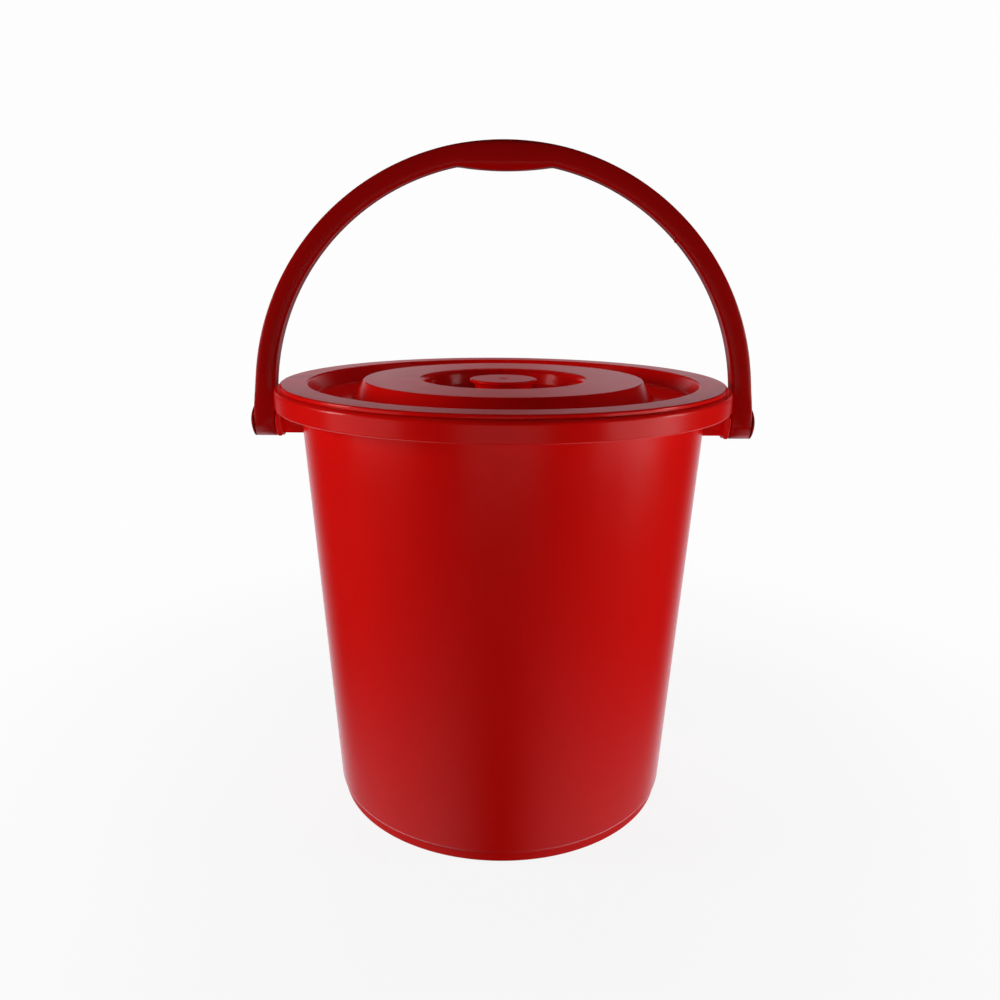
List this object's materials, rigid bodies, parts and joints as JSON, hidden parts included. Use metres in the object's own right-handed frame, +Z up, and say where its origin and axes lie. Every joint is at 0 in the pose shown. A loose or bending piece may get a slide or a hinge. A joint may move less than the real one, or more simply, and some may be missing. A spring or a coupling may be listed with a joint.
{
  "type": "lidded bucket with carrying handle",
  "caption": "Tapered plastic bucket with a drop-in lid, a sunken centre knob and an arched handle that swings on pivot pins.",
  "frame": {"origin": "centre of the foot ring, on the floor", "axes": "+Z up along the bucket's axis, X along the handle's pivot axis with the right ear at +X, -Y towards the front"},
  "size_m": [0.3728, 0.3278, 0.4802],
  "materials": {
    "bucket_plastic": "glossy moulded polypropylene, red",
    "lid_plastic": "glossy moulded polypropylene, red",
    "handle_plastic": "glossy moulded polypropylene, slightly deeper red",
    "pin_plastic": "glossy moulded polypropylene, red"
  },
  "bodies": {
    "bucket_body": {"bucket": "bucket_plastic", "left_pin": "pin_plastic", "right_pin": "pin_plastic"},
    "handle_body": {"handle": "handle_plastic"},
    "lid_body": {"lid": "lid_plastic"}
  },
  "joints": [
    {"name": "handle_swing", "type": "hinge", "parent": "bucket_body", "child": "handle_body", "pos_m": [0, 0, 0.285], "axis": [1, 0, 0], "range_deg": [-124, 124]},
    {"name": "lid_lift", "type": "slide", "parent": "bucket_body", "child": "lid_body", "axis": [0, 0, 1], "range_m": [0, 0.016]}
  ]
}
